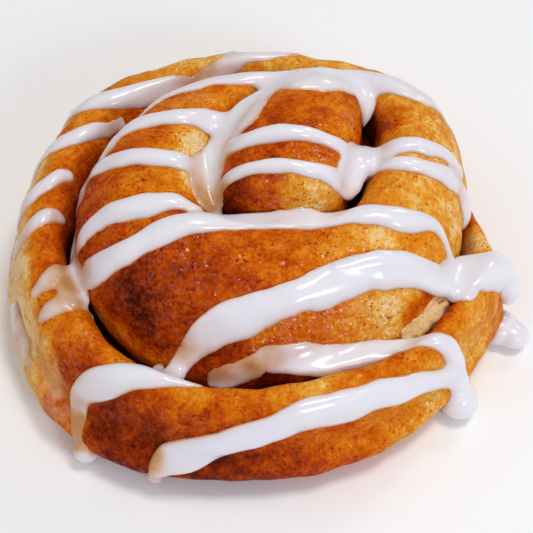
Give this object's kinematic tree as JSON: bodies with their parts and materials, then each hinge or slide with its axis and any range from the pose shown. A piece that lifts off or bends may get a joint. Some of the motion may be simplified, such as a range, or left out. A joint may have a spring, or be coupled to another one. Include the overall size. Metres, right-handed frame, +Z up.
{
  "type": "cinnamon roll",
  "caption": "Iced cinnamon roll: a spiral strip of baked dough with cinnamon filling between its turns and thick white icing drizzled over the top.",
  "frame": {"origin": "middle of the box round the roll, at the level of the surface it stands on", "axes": "+Z up, -Y towards the side with the long front sweep of dough, +X to the right seen from there"},
  "size_m": [0.1066, 0.0966, 0.0425],
  "materials": {
    "baked_dough": "satin",
    "cinnamon": "matte",
    "icing": "gloss"
  },
  "bodies": {
    "root": {"roll": "baked_dough", "cinnamon_filling": "cinnamon"}
  },
  "joints": []
}
